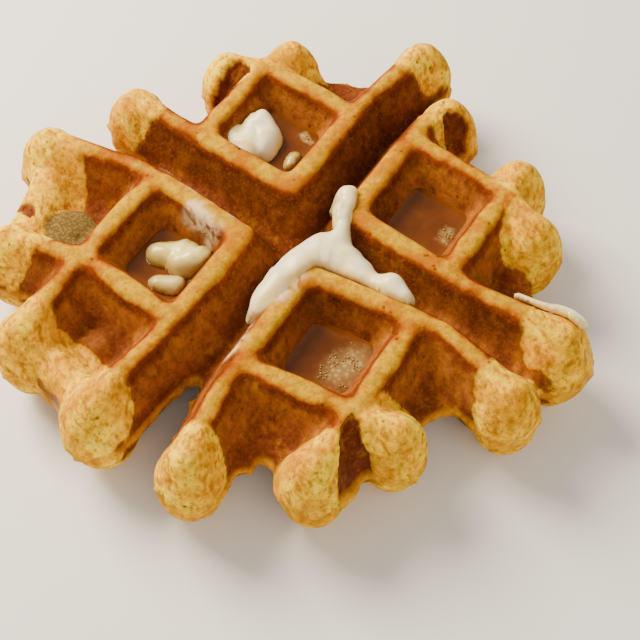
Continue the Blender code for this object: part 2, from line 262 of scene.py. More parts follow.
def baked_crust(tree, shader):
    """Baked yeast batter: golden on the ridge tops, chestnut on the walls and floors that the iron
    pressed, and pale ochre on the lobes. Pores, scorched specks and butter break up the surface."""
    place = add(tree, "ShaderNodeTexCoord").outputs["Object"]
    depth, free, crease, film, rim, heart, groove, foam = (
        add(tree, "ShaderNodeAttribute", attribute_name=title).outputs["Fac"]
        for title in ("depth", "free", "crease", "film", "rim", "heart", "groove", "foam")
    )
    # Patches of uneven heat, about 9 mm across, and the crumb's own mottling, about 2 mm across
    in_patches = {"Vector": place, "Scale": scale_of(9.09), "Detail": 4.0, "Roughness": 0.6}
    patches = add(tree, "ShaderNodeTexNoise", in_patches)
    in_crumb = {"Vector": place, "Scale": scale_of(1.92), "Detail": 4.0, "Roughness": 0.7}
    mottle = add(tree, "ShaderNodeTexNoise", in_crumb)
    uneven = add(tree, "ShaderNodeMath", (patches, 0.22, -0.11), operation="MULTIPLY_ADD")
    level = add(tree, "ShaderNodeMath", (depth, uneven), operation="ADD")
    plates = add(tree, "ShaderNodeValToRGB", (level,))
    lobes = add(tree, "ShaderNodeValToRGB", (patches,))
    for ramp, stops in ((plates, BROWNING), (lobes, LOBE_COLOURS)):
        elements = ramp.color_ramp.elements
        while len(elements) < len(stops):
            elements.new(0.5)
        for element, (stop, code) in zip(elements, stops):
            element.position = stop
            element.color = linear(code)
    # Batter that ran down a wall leaves upright streaks, some lighter and some scorched
    upright = add(tree, "ShaderNodeVectorMath", (place, (1.0, 1.0, 0.35)), operation="MULTIPLY")
    in_runs = {"Vector": upright, "Scale": scale_of(4.35), "Detail": 5.0, "Roughness": 0.7}
    runs = add(tree, "ShaderNodeTexNoise", in_runs)
    on_wall = add(tree, "ShaderNodeMapRange", (level, 0.1, 0.2), **EASED)
    light_run = add(tree, "ShaderNodeMapRange", (runs, 0.5, 0.68, 0.0, 0.6), **EASED)
    lighter = add(tree, "ShaderNodeMath", (light_run, on_wall), operation="MULTIPLY")
    streaked = add(tree, "ShaderNodeMix", (lighter, plates, linear("#a86c14")), data_type="RGBA")
    dark_run = add(tree, "ShaderNodeMapRange", (runs, 0.48, 0.34, 0.0, 0.6), **EASED)
    darker = add(tree, "ShaderNodeMath", (dark_run, on_wall), operation="MULTIPLY")
    scorched = add(tree, "ShaderNodeMix", (darker, streaked, linear("#54260e")), data_type="RGBA")
    # The walls are darkest around the crossing of the grooves, and on the grooves' far sides:
    # partly scorching, and partly painted shade deep in the hub and along those grooves
    hub_scorch_and_shade = add(tree, "ShaderNodeMapRange", (heart, 0.05, 0.14, 0.0, 0.6), **EASED)
    far_groove_scorch_and_shade = add(tree, "ShaderNodeMath", (groove, 0.6), operation="MULTIPLY")
    scorch_and_shade = add(tree, "ShaderNodeMath", (hub_scorch_and_shade, far_groove_scorch_and_shade), operation="MAXIMUM")
    wall_scorch_and_shade = add(tree, "ShaderNodeMath", (scorch_and_shade, on_wall), operation="MULTIPLY")
    pressed = add(tree, "ShaderNodeMix", (wall_scorch_and_shade, scorched, linear("#431804")), data_type="RGBA")
    # The lobes are pale, with painted shade darkening the folds of their skin and their steam pits
    pale = add(tree, "ShaderNodeMix", (crease, lobes, linear("#b87806")), data_type="RGBA")
    dough = add(tree, "ShaderNodeMix", (free, pressed, pale), data_type="RGBA")
    # The iron scorched the border of each pressed panel
    border_start = add(tree, "ShaderNodeMapRange", (free, 0.0, 0.2), **EASED)
    border_end = add(tree, "ShaderNodeMapRange", (free, 0.6, 0.25), **EASED)
    border = add(tree, "ShaderNodeMath", (border_start, border_end), operation="MULTIPLY")
    below_top = add(tree, "ShaderNodeMapRange", (level, 0.1, 0.25, 0.0, 0.6), **EASED)
    scorch = add(tree, "ShaderNodeMath", (border, below_top), operation="MULTIPLY")
    browned = add(tree, "ShaderNodeMix", (scorch, dough, linear("#6a2c04")), data_type="RGBA")
    thin_edge = add(tree, "ShaderNodeMath", (rim, 0.7), operation="MULTIPLY")
    rimmed = add(tree, "ShaderNodeMix", (thin_edge, browned, linear("#d8980f")), data_type="RGBA")
    tint = add(tree, "ShaderNodeMapRange", (mottle, 0.32, 0.68, 0.74, 1.3), **EASED)
    toned = add(tree, "ShaderNodeVectorMath", (rimmed, tint), operation="SCALE")
    # Fine grain of the crust, about 1 mm across
    in_grain = {"Vector": place, "Scale": scale_of(1.05), "Detail": 2.0, "Roughness": 0.6}
    grain = add(tree, "ShaderNodeTexNoise", in_grain)
    grainy = add(tree, "ShaderNodeMapRange", (grain, 0.56, 0.68, 0.0, 0.4), **EASED)
    grained = add(tree, "ShaderNodeMix", (grainy, toned, linear("#9a5600")), data_type="RGBA")
    # Ridges near the middle of the iron, and patches elsewhere, baked to orange-brown
    heat = add(tree, "ShaderNodeMath", (patches, heart), operation="ADD")
    toasted = add(tree, "ShaderNodeMapRange", (heat, 0.52, 0.72, 0.0, 0.65), **EASED)
    on_ridge = add(tree, "ShaderNodeMapRange", (level, 0.12, 0.04), **EASED)
    golden = add(tree, "ShaderNodeMath", (toasted, on_ridge), operation="MULTIPLY")
    warm = add(tree, "ShaderNodeMix", (golden, grained, linear("#a85a02")), data_type="RGBA")
    # Scorched specks, under a millimetre across, in the middles of cells of 2.8 mm
    cells = add(tree, "ShaderNodeTexVoronoi", {"Vector": place, "Scale": scale_of(2.78)})
    speck = add(tree, "ShaderNodeMapRange", (cells, 0.22, 0.08, 0.0, 0.7), **EASED)
    where_specked = add(tree, "ShaderNodeMapRange", (patches, 0.48, 0.6), **EASED)
    specks = add(tree, "ShaderNodeMath", (speck, where_specked), operation="MULTIPLY")
    specked = add(tree, "ShaderNodeMix", (specks, warm, linear("#4a1c06")), data_type="RGBA")
    # Melted butter dragged over the ridges in a broken, whitish film
    in_smear = {"Vector": place, "Scale": scale_of(3.85), "Detail": 2.0, "Distortion": 1.0}
    dragged = add(tree, "ShaderNodeTexNoise", in_smear)
    broken = add(tree, "ShaderNodeMapRange", (dragged, 0.34, 0.62, 0.0, 0.85), **EASED)
    greasy = add(tree, "ShaderNodeMath", (film, broken), operation="MULTIPLY")
    smeared = add(tree, "ShaderNodeMix", (greasy, specked, linear("#f2dcb4")), data_type="RGBA")
    # Froth of syrup in the outer gap, grey-brown, its bubbles drawn coarse enough to show
    froth = add(tree, "ShaderNodeTexVoronoi", {"Vector": place, "Scale": scale_of(0.667)})
    bubbled = add(tree, "ShaderNodeMapRange", (froth, 0.1, 0.7), **EASED)
    froth_colours = (bubbled, linear("#86703e"), linear("#62502c"))
    frothy = add(tree, "ShaderNodeMix", froth_colours, data_type="RGBA")
    crust = add(tree, "ShaderNodeMix", (foam, smeared, frothy), data_type="RGBA")
    # Melted butter left some places wet
    wet = add(tree, "ShaderNodeTexNoise", {"Vector": place, "Scale": scale_of(13.3), "Detail": 2.0})
    gloss = add(tree, "ShaderNodeMapRange", (wet, 0.56, 0.66, 0.78, 0.28), **EASED)
    # Pores everywhere, and on the lobes the skin's fine cracks, both drawn coarse enough to show
    in_pores = {"Vector": place, "Scale": scale_of(0.77), "Detail": 3.0, "Roughness": 0.6}
    pores = add(tree, "ShaderNodeTexNoise", in_pores)
    in_skin = {"Vector": place, "Scale": scale_of(2.08)}
    skin = add(tree, "ShaderNodeTexVoronoi", in_skin, feature="DISTANCE_TO_EDGE")
    cracks = add(tree, "ShaderNodeMapRange", (skin, 0.0, 0.07, 0.0, 0.4), **EASED)
    lobe_cracks = add(tree, "ShaderNodeMath", (cracks, free), operation="MULTIPLY")
    height = add(tree, "ShaderNodeMath", (pores, lobe_cracks), operation="ADD")
    bump = add(tree, "ShaderNodeBump", {"Strength": 0.4, "Distance": 0.3 * MM, "Height": height})
    feed(tree, shader, {"Base Color": crust, "Roughness": gloss, "Normal": bump})
    feed(tree, shader, {"Specular IOR Level": 0.07, "Specular Tint": linear("#ffe2b0")})


waffle = merged_copy("waffle_baked", "waffle")
outline_guide = outline_of(waffle, MID_HEIGHT * MM)
add_balls(waffle, LUMPS)
close_grain(waffle, voxel=0.86, rounds=3)

WAFFLE_SIZES = {
    "Lobe Ends": lobe_guide,
    "Fronts": front_guide,
    "Outline": outline_guide,
    "Butter Films": film_guide,
    "Marks": mark_guide,
    "Puddle": puddle_guide,
    "Mid Height": MID_HEIGHT * MM,
    "Half Thickness": 14.5 * MM,
    "Lobe Reach": 9.0 * MM,
    "Front Reach": 5.6 * MM,
    "Film Reach": 3.2 * MM,
    "Film Foot": 18.0 * MM,
    "Film Top": 22.0 * MM,
    "Mark Reach": 1.4 * MM,
    "Mark Depth": 1.3 * MM,
    "Mark Foot": 17.0 * MM,
    "Puddle Reach": 6.4 * MM,
    "Puddle Foot": 18.0 * MM,
    "Puddle Level": 22.8 * MM,
    "Puddle Top": 24.2 * MM,
    "Rim Width": 2.4 * MM,
    "Wrinkle Depth": 0.14 * MM,
    "Lump Height": 0.3 * MM,
    "Pit Depth": 0.8 * MM,
    "Torn Edge": 0.9 * MM,
    "Flat Foot": 0.1 * MM,
    "Free Foot": 2.0 * MM,
    "Hot Radius": 10.0 * MM,
    "Cool Radius": 48.0 * MM,
    "Groove Wall": 8.0 * MM,
    "Groove Edge": 10.0 * MM,
    "Crust": material("baked_batter_crust", baked_crust),
}


def geometry_tree(name, sizes):
    """A geometry tree with a geometry input and one input for each size, object or material."""
    kinds = {float: "NodeSocketFloat", int: "NodeSocketInt"}
    tree = bpy.data.node_groups.new(name, "GeometryNodeTree")
    tree.interface.new_socket("Geometry", in_out="INPUT", socket_type="NodeSocketGeometry")
    for title, value in sizes.items():
        kind = kinds.get(type(value)) or "NodeSocket" + type(value).bl_rna.identifier
        tree.interface.new_socket(title, in_out="INPUT", socket_type=kind)
    tree.interface.new_socket("Geometry", in_out="OUTPUT", socket_type="NodeSocketGeometry")
    return tree, add(tree, "NodeGroupInput").outputs


def grow(piece, tree, sizes):
    """Runs a geometry tree on a piece, and leaves the piece with the plain mesh that comes out."""
    modifier = piece.modifiers.new(tree.name, "NODES")
    modifier.node_group = tree
    for item in tree.interface.items_tree:
        if item.in_out == "INPUT" and item.name in sizes:
            modifier[item.identifier] = sizes[item.name]
    bake(piece)


def distance_to(tree, guide_socket, source):
    """Nodes that measure from each point to the nearest edge of a guide."""
    lines = add(tree, "GeometryNodeObjectInfo", {"Object": guide_socket}).outputs["Geometry"]
    measured = {"Geometry": lines, "Sample Position": source}
    near = add(tree, "GeometryNodeProximity", measured, target_element="EDGES")
    return near.outputs["Distance"]


def wander(tree, source, size, detail, reach, distortion=0.0):
    """Nodes that wander from -reach to reach, over spots about so many millimetres across."""
    looks = {"Vector": source, "Scale": scale_of(size), "Detail": detail, "Distortion": distortion}
    noise = add(tree, "ShaderNodeTexNoise", looks)
    return add(tree, "ShaderNodeMath", (noise, 2.0 * reach, -reach), operation="MULTIPLY_ADD")


def within(tree, gap, reach, share):
    """Nodes that give 1 where a gap is under a share of a reach, easing to 0 at the whole of it."""
    inner = add(tree, "ShaderNodeMath", (reach, share), operation="MULTIPLY")
    return add(tree, "ShaderNodeMapRange", (gap, reach, inner), **EASED)


tree, sizes = geometry_tree("baked_waffle", WAFFLE_SIZES)
position = add(tree, "GeometryNodeInputPosition")
normal = add(tree, "GeometryNodeInputNormal")
parts = add(tree, "ShaderNodeSeparateXYZ", (position,)).outputs
plan = add(tree, "ShaderNodeCombineXYZ", (parts["X"], parts["Y"]))

# Depth is 0 on the ridge tops and 1 halfway through the waffle
above = add(tree, "ShaderNodeMath", (parts["Z"], sizes["Mid Height"]), operation="SUBTRACT")
from_middle = add(tree, "ShaderNodeMath", (above,), operation="ABSOLUTE")
nearness = add(tree, "ShaderNodeMath", (from_middle, sizes["Half Thickness"]), operation="DIVIDE")
depth = add(tree, "ShaderNodeMath", (1.0, nearness), operation="SUBTRACT")

# Where the batter never reached the iron: on the lobes, the fronts and along the torn edges
waver = wander(tree, position, 4.348, 3.0, 2.5 * MM)
to_lobe = distance_to(tree, sizes["Lobe Ends"], plan)
lobe_gap = add(tree, "ShaderNodeMath", (to_lobe, waver), operation="ADD")
lobe = within(tree, lobe_gap, sizes["Lobe Reach"], share=0.85)
to_front = distance_to(tree, sizes["Fronts"], plan)
front_gap = add(tree, "ShaderNodeMath", (waver, 0.5, to_front), operation="MULTIPLY_ADD")
front = within(tree, front_gap, sizes["Front Reach"], share=0.8)
loose = add(tree, "ShaderNodeMath", (lobe, front), operation="MAXIMUM")
to_edge = distance_to(tree, sizes["Outline"], position)
rim = within(tree, to_edge, sizes["Rim Width"], share=0.4)

# The marks that the iron pressed into the lobes, on the upper side alone, browned and darkened
# as painted shade of a pit deeper than the recess
to_mark = distance_to(tree, sizes["Marks"], plan)
mark_gap = add(tree, "ShaderNodeMath", (waver, 0.4, to_mark), operation="MULTIPLY_ADD")
mark_edge = add(tree, "ShaderNodeMath", (sizes["Mark Reach"], 1.3), operation="MULTIPLY")
marked = add(tree, "ShaderNodeMapRange", (mark_gap, mark_edge, sizes["Mark Reach"]), **EASED)
mark_rise = (parts["Z"], sizes["Mid Height"], sizes["Mark Foot"])
upper_side = add(tree, "ShaderNodeMapRange", mark_rise, **EASED)
mark = add(tree, "ShaderNodeMath", (marked, upper_side), operation="MULTIPLY")
free = add(tree, "ShaderNodeMath", (loose, mark), operation="SUBTRACT")
mark_browning_and_shade = add(tree, "ShaderNodeMath", (mark, 0.9), operation="MULTIPLY")
browned = add(tree, "ShaderNodeMath", (depth, mark_browning_and_shade), operation="MAXIMUM")

# Where one noise crosses its middle value, the skin of the lobe folds in
stretched = add(tree, "ShaderNodeVectorMath", (position, (1.0, 1.0, 0.45)), operation="MULTIPLY")
in_folds = {"Vector": stretched, "Scale": scale_of(3.333), "Detail": 2.0, "Distortion": 0.8}
folds = add(tree, "ShaderNodeTexNoise", in_folds)
to_middle = add(tree, "ShaderNodeMath", (folds, 0.5), operation="SUBTRACT")
off_middle = add(tree, "ShaderNodeMath", (to_middle,), operation="ABSOLUTE")
fold_line = add(tree, "ShaderNodeMapRange", (off_middle, 0.05, 0.0), **EASED)
crease = add(tree, "ShaderNodeMath", (fold_line, free), operation="MULTIPLY")
inwards = add(tree, "ShaderNodeMath", (crease, sizes["Wrinkle Depth"]), operation="MULTIPLY")

# Burst steam bubbles leave small round pits
bubbles = add(tree, "ShaderNodeTexVoronoi", {"Vector": position, "Scale": scale_of(6.667)})
round_pit = add(tree, "ShaderNodeMapRange", (bubbles, 0.16, 0.05), **EASED)
some_places = add(tree, "ShaderNodeMapRange", (folds, 0.5, 0.6), **EASED)
pit = add(tree, "ShaderNodeMath", (round_pit, some_places), operation="MULTIPLY")
pitted = add(tree, "ShaderNodeMath", (pit, sizes["Pit Depth"], inwards), operation="MULTIPLY_ADD")
sunk = add(tree, "ShaderNodeMath", (mark, sizes["Mark Depth"], pitted), operation="MULTIPLY_ADD")

# The lobes are lumpy, the pressed panels calmer, and the thin edges torn
lumps = wander(tree, position, 7.692, 1.0, 2.0)
calm = add(tree, "ShaderNodeMapRange", (free, 0.0, 1.0, 0.35), **EASED)
calmed = add(tree, "ShaderNodeMath", (lumps, calm), operation="MULTIPLY")
lumpy = add(tree, "ShaderNodeMath", (calmed, sizes["Lump Height"]), operation="MULTIPLY")
tears = wander(tree, position, 3.846, 3.0, 2.5)
edge_tears = add(tree, "ShaderNodeMath", (tears, rim), operation="MULTIPLY")
torn = add(tree, "ShaderNodeMath", (edge_tears, sizes["Torn Edge"]), operation="MULTIPLY")
outwards = add(tree, "ShaderNodeMath", (lumpy, torn), operation="ADD")
relief = add(tree, "ShaderNodeMath", (outwards, sunk), operation="SUBTRACT")
# The feet of the ridges stay flat where the waffle stands
foot_rise = (parts["Z"], sizes["Flat Foot"], sizes["Free Foot"])
off_foot = add(tree, "ShaderNodeMapRange", foot_rise, **EASED)
push = add(tree, "ShaderNodeMath", (relief, off_foot), operation="MULTIPLY")
offset = add(tree, "ShaderNodeVectorMath", (normal, push), operation="SCALE")

# The film of butter on the ridge tops, and the puddle between the web and its level
to_film = distance_to(tree, sizes["Butter Films"], plan)
film_gap = add(tree, "ShaderNodeMath", (to_film, waver), operation="ADD")
smear = add(tree, "ShaderNodeMapRange", (film_gap, sizes["Film Reach"], 0.0), **EASED)
film_rise = (parts["Z"], sizes["Film Foot"], sizes["Film Top"])
on_top = add(tree, "ShaderNodeMapRange", film_rise, **EASED)
film = add(tree, "ShaderNodeMath", (smear, on_top), operation="MULTIPLY")
to_puddle = distance_to(tree, sizes["Puddle"], plan)
puddle_gap = add(tree, "ShaderNodeMath", (waver, 0.2, to_puddle), operation="MULTIPLY_ADD")
puddle = within(tree, puddle_gap, sizes["Puddle Reach"], share=0.85)
puddle_rise = (parts["Z"], sizes["Mid Height"], sizes["Puddle Foot"])
above_web = add(tree, "ShaderNodeMapRange", puddle_rise, **EASED)
puddle_fall = (parts["Z"], sizes["Puddle Top"], sizes["Puddle Level"])
up_to_level = add(tree, "ShaderNodeMapRange", puddle_fall, **EASED)
in_gap = add(tree, "ShaderNodeMath", (above_web, up_to_level), operation="MULTIPLY")
foam = add(tree, "ShaderNodeMath", (puddle, in_gap), operation="MULTIPLY")

# The heart of the iron is its hottest place. The walls along the grooves on its far side are darker,
# partly scorched and partly painted shade
from_centre = add(tree, "ShaderNodeVectorMath", (plan,), operation="LENGTH")
heart_fall = (from_centre, sizes["Cool Radius"], sizes["Hot Radius"], 0.0, 0.16)
heart = add(tree, "ShaderNodeMapRange", heart_fall, **EASED)
off_axis_x = add(tree, "ShaderNodeMath", (parts["X"],), operation="ABSOLUTE")
off_axis_y = add(tree, "ShaderNodeMath", (parts["Y"],), operation="ABSOLUTE")
off_axis = add(tree, "ShaderNodeMath", (off_axis_x, off_axis_y), operation="MINIMUM")
groove_fall = (off_axis, sizes["Groove Edge"], sizes["Groove Wall"])
in_groove = add(tree, "ShaderNodeMapRange", groove_fall, **EASED)
far_half = add(tree, "ShaderNodeMapRange", (parts["X"], 0.0, 4.0 * MM), **EASED)
groove = add(tree, "ShaderNodeMath", (in_groove, far_half), operation="MULTIPLY")

stored = {
    "depth": browned,
    "free": free,
    # The folds and steam pits of the lobes, which the crust darkens as painted shade
    "crease": add(tree, "ShaderNodeMath", (crease, pit), operation="MAXIMUM"),
    "film": film,
    "rim": rim,
    "heart": heart,
    "groove": groove,
    "foam": foam,
}
shape = sizes["Geometry"]
for title, value in stored.items():
    kept = {"Geometry": shape, "Name": title, "Value": value}
    shape = add(tree, "GeometryNodeStoreNamedAttribute", kept, data_type="FLOAT", domain="POINT")
moved = add(tree, "GeometryNodeSetPosition", {"Geometry": shape, "Offset": offset})
real = add(tree, "GeometryNodeRealizeInstances", {"Geometry": moved})
dressed = add(tree, "GeometryNodeSetMaterial", {"Geometry": real, "Material": sizes["Crust"]})
add(tree, "NodeGroupOutput", {"Geometry": dressed})
grow(waffle, tree, WAFFLE_SIZES)
waffle.data.shade_smooth()
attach(waffle, "root")
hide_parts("waffle")

for used_guide in (lobe_guide, front_guide, outline_guide, film_guide, mark_guide, puddle_guide):
    bpy.data.objects.remove(used_guide)


# Syrup: dark maple syrup, poured over the waffle, stands in the first pocket of each quarter.
# It wets the walls a little above its level, and holds foam and small bubbles.


def pooled_syrup(tree, shader):
    """Dark syrup: amber where it is shallow at the shore, nearly black in the middle, with a wet shine."""
    place = add(tree, "ShaderNodeTexCoord").outputs["Object"]
    shore, foam = (
        add(tree, "ShaderNodeAttribute", attribute_name=title).outputs["Fac"]
        for title in ("shore", "foam")
    )
    # Swirls of darker and lighter syrup: partly uneven depth, and partly painted reflection of the walls
    in_swirl = {"Vector": place, "Scale": scale_of(6.67), "Detail": 3.0, "Distortion": 0.8}
    swirl_and_painted_reflection = add(tree, "ShaderNodeTexNoise", in_swirl)
    deep_colours = (swirl_and_painted_reflection, linear("#3a1804"), linear("#7a420e"))
    deep = add(tree, "ShaderNodeMix", deep_colours, data_type="RGBA")
    at_shore = add(tree, "ShaderNodeMath", (shore, 0.5), operation="MULTIPLY")
    shallow = add(tree, "ShaderNodeMix", (at_shore, deep, linear("#8f5410")), data_type="RGBA")
    froth = add(tree, "ShaderNodeTexVoronoi", {"Vector": place, "Scale": scale_of(1.11)})
    bubbled = add(tree, "ShaderNodeMapRange", (froth, 0.2, 0.6, 0.95, 0.45), **EASED)
    frothy = add(tree, "ShaderNodeMath", (foam, bubbled), operation="MULTIPLY")
    syrup = add(tree, "ShaderNodeMix", (frothy, shallow, linear("#b49a62")), data_type="RGBA")
    feed(tree, shader, {"Base Color": syrup, "Roughness": 0.06, "IOR": 1.48})


def foam_bubble(tree, shader):
    """The thin skin of a bubble in syrup, pale and glossy."""
    feed(tree, shader, {"Base Color": linear("#94703c"), "Roughness": 0.08, "IOR": 1.48})


# For each pool, where its foam gathered, how far the foam spreads, and how many bubbles it has
FOAMS = {
    "near": ([(-24.5, -27.5), (-20.5, -28.5)], 6.5, 60),
    "left": ([(-24.0, 14.5), (-15.0, 15.5)], 3.0, 25),
    "far": ([(27.0, 15.0), (28.0, 18.0)], 1.0, 6),
    "right": ([(24.0, -28.0), (20.0, -28.5)], 2.2, 14),
}

# Each pool is widened until it meets the sloping walls, and its shore lies just under its level
POOL_SPREAD = 1.5
SHORE_DROP = 0.5

POOL_SIZES = {
    "Meniscus": 0.5 * MM,
    "Meniscus Width": 1.4 * MM,
    "Shore Width": 4.5 * MM,
    "Bubble Radius": 0.26 * MM,
    "Bubble Gap": 0.6 * MM,
    "Syrup": material("maple_syrup", pooled_syrup),
    "Foam": material("syrup_foam", foam_bubble),
}


def pool_tree(pool_sizes):
    """Lifts a pool's edge against its walls, and strews bubbles on its foam."""
    tree, sizes = geometry_tree("settled_pool", pool_sizes)
    position = add(tree, "GeometryNodeInputPosition")
    normal = add(tree, "GeometryNodeInputNormal")
    facing = add(tree, "ShaderNodeSeparateXYZ", (normal,)).outputs["Z"]
    upper = add(tree, "ShaderNodeMapRange", (facing, 0.2, 0.7), **EASED)
    to_shore = distance_to(tree, sizes["Outline"], position)
    shore = add(tree, "ShaderNodeMapRange", (to_shore, sizes["Shore Width"], 0.0), **EASED)
    at_wall = add(tree, "ShaderNodeMapRange", (to_shore, sizes["Meniscus Width"], 0.0), **EASED)
    climb = add(tree, "ShaderNodeMath", (at_wall, sizes["Meniscus"]), operation="MULTIPLY")
    upper_climb = add(tree, "ShaderNodeMath", (climb, upper), operation="MULTIPLY")
    lift = add(tree, "ShaderNodeCombineXYZ", {"Z": upper_climb})
    plan = add(tree, "ShaderNodeVectorMath", (position, (1.0, 1.0, 0.0)), operation="MULTIPLY")
    to_foam = distance_to(tree, sizes["Foam Line"], plan)
    ragged = wander(tree, position, 3.846, 3.0, 3.0 * MM)
    foam_gap = add(tree, "ShaderNodeMath", (to_foam, ragged), operation="ADD")
    near_foam = add(tree, "ShaderNodeMapRange", (foam_gap, sizes["Foam Reach"], 0.0), **EASED)
    foam = add(tree, "ShaderNodeMath", (near_foam, upper), operation="MULTIPLY")
    shape = sizes["Geometry"]
    for title, value in {"shore": shore, "foam": foam}.items():
        kept = {"Geometry": shape, "Name": title, "Value": value}
        shape = add(tree, "GeometryNodeStoreNamedAttribute", kept, data_type="FLOAT", domain="POINT")
    moved = add(tree, "GeometryNodeSetPosition", {"Geometry": shape, "Offset": lift})
    wet = add(tree, "GeometryNodeSetMaterial", {"Geometry": moved, "Material": sizes["Syrup"]})
    scatter = {
        "Mesh": moved,
        "Distance Min": sizes["Bubble Gap"],
        "Density Max": 3.0e6,
        "Density Factor": add(tree, "ShaderNodeMath", (foam, 0.15), operation="GREATER_THAN"),
        "Seed": 4,
    }
    spots = add(tree, "GeometryNodeDistributePointsOnFaces", scatter, distribute_method="POISSON")
    count = add(tree, "GeometryNodeInputIndex")
    extra = add(tree, "ShaderNodeMath", (count, sizes["Bubbles"]), operation="GREATER_THAN")
    fewer = add(tree, "GeometryNodeDeleteGeometry", {"Geometry": spots, "Selection": extra})
    ball_sizes = {"Radius": sizes["Bubble Radius"], "Subdivisions": 3}
    ball = add(tree, "GeometryNodeMeshIcoSphere", ball_sizes)
    varied = {"Min": 0.4, "Max": 1.3, "Seed": 9}
    scale = add(tree, "FunctionNodeRandomValue", varied, data_type="FLOAT")
    strewn = {"Points": fewer, "Instance": ball, "Scale": scale}
    balls = add(tree, "GeometryNodeInstanceOnPoints", strewn)
    real = add(tree, "GeometryNodeRealizeInstances", {"Geometry": balls})
    smooth = add(tree, "GeometryNodeSetShadeSmooth", {"Geometry": real, "Shade Smooth": True})
    foamed = add(tree, "GeometryNodeSetMaterial", {"Geometry": smooth, "Material": sizes["Foam"]})
    joined = add(tree, "GeometryNodeJoinGeometry")
    for piece in (foamed, wet):
        tree.links.new(piece.outputs[0], joined.inputs[0])
    add(tree, "NodeGroupOutput", {"Geometry": joined})
    return tree


for quarter_name, (foam_line, foam_reach, bubble_count) in FOAMS.items():
    node_name = "syrup_" + quarter_name
    pool = merged_copy("pool_" + quarter_name, node_name)
    level = max(v.co.z for v in pool.data.vertices)
    middle = sum((v.co for v in pool.data.vertices), Vector()) / len(pool.data.vertices)
    widened = Matrix.Diagonal((POOL_SPREAD, POOL_SPREAD, 1.0, 1.0))
    pool.data.transform(Matrix.Translation(middle) @ widened @ Matrix.Translation(-middle))
    close_grain(pool, voxel=0.4, rounds=2)
    shore_guide = outline_of(pool, level - SHORE_DROP * MM)
    foam_guide = guide("foam_guide", [foam_line])
    pool_sizes = {
        "Outline": shore_guide,
        "Foam Line": foam_guide,
        "Foam Reach": foam_reach * MM,
        "Bubbles": bubble_count,
        **POOL_SIZES,
    }
    grow(pool, pool_tree(pool_sizes), pool_sizes)
    for used_guide in (shore_guide, foam_guide):
        bpy.data.objects.remove(used_guide)
    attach(pool, "root")
    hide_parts(node_name)


# Butter: soft pats that slumped over the ridges and are melting into the pockets.
# Their edges cling to the crust, and their tops keep the soft folds of the knife.


def soft_butter(tree, shader, body=("#fff0be", "#fffbe2"), edge="#e4cc80"):
    """Half-melted butter: creamy, yellower where it is thin, with a greasy shine."""
    place = add(tree, "ShaderNodeTexCoord").outputs["Object"]
    thin = add(tree, "ShaderNodeAttribute", attribute_name="thin").outputs["Fac"]
    in_streaks = {"Vector": place, "Scale": scale_of(5.88), "Detail": 3.0, "Distortion": 0.6}
    streaks = add(tree, "ShaderNodeTexNoise", in_streaks)
    paler = add(tree, "ShaderNodeMapRange", (streaks, 0.35, 0.65), **EASED)
    creamy = add(tree, "ShaderNodeMix", (paler, linear(body[0]), linear(body[1])), data_type="RGBA")
    yellower = add(tree, "ShaderNodeMath", (thin, 0.8), operation="MULTIPLY")
    butter = add(tree, "ShaderNodeMix", (yellower, creamy, linear(edge)), data_type="RGBA")
    feed(tree, shader, {"Base Color": butter, "Roughness": 0.25, "IOR": 1.46})
    # Light travels about a millimetre and a half through it
    light_inside = {
        "Subsurface Weight": 0.3,
        "Subsurface Radius": (1.0, 0.8, 0.4),
        "Subsurface Scale": 1.5 * MM,
    }
    feed(tree, shader, light_inside)


def melting_butter(tree, shader):
    """Butter that has nearly melted into warm syrup: translucent, yellow, and brownish at its edge."""
    soft_butter(tree, shader, body=("#dccc74", "#f2eaa8"), edge="#9c8038")
    feed(tree, shader, {"Subsurface Weight": 0.5, "Roughness": 0.15})


BUTTER_SIZES = {
    "Cling": 0.55 * MM,
    "Sink": 1.6 * MM,
    "Fold Height": 0.55 * MM,
    "Thin Edge": 1.6 * MM,
    "Thinnest": 0.2 * MM,
    "Butter": material("soft_butter", soft_butter),
}
# The strip lies thin and smooth on its lobe
STRIP_SIZES = {
    "Cling": 0.3 * MM,
    "Sink": 0.8 * MM,
    "Fold Height": 0.1 * MM,
    "Thin Edge": 2.2 * MM,
}
# The pieces that lie in or over the syrup are nearly melted, and sunk to a share of their height
MELTING = ("butter_left_upper", "butter_left_lower", "butter_far_small")
MELTED_HEIGHT = 0.72
MELTING_SIZES = {
    "Thin Edge": 3.0 * MM,
    "Butter": material("melting_butter", melting_butter),
}


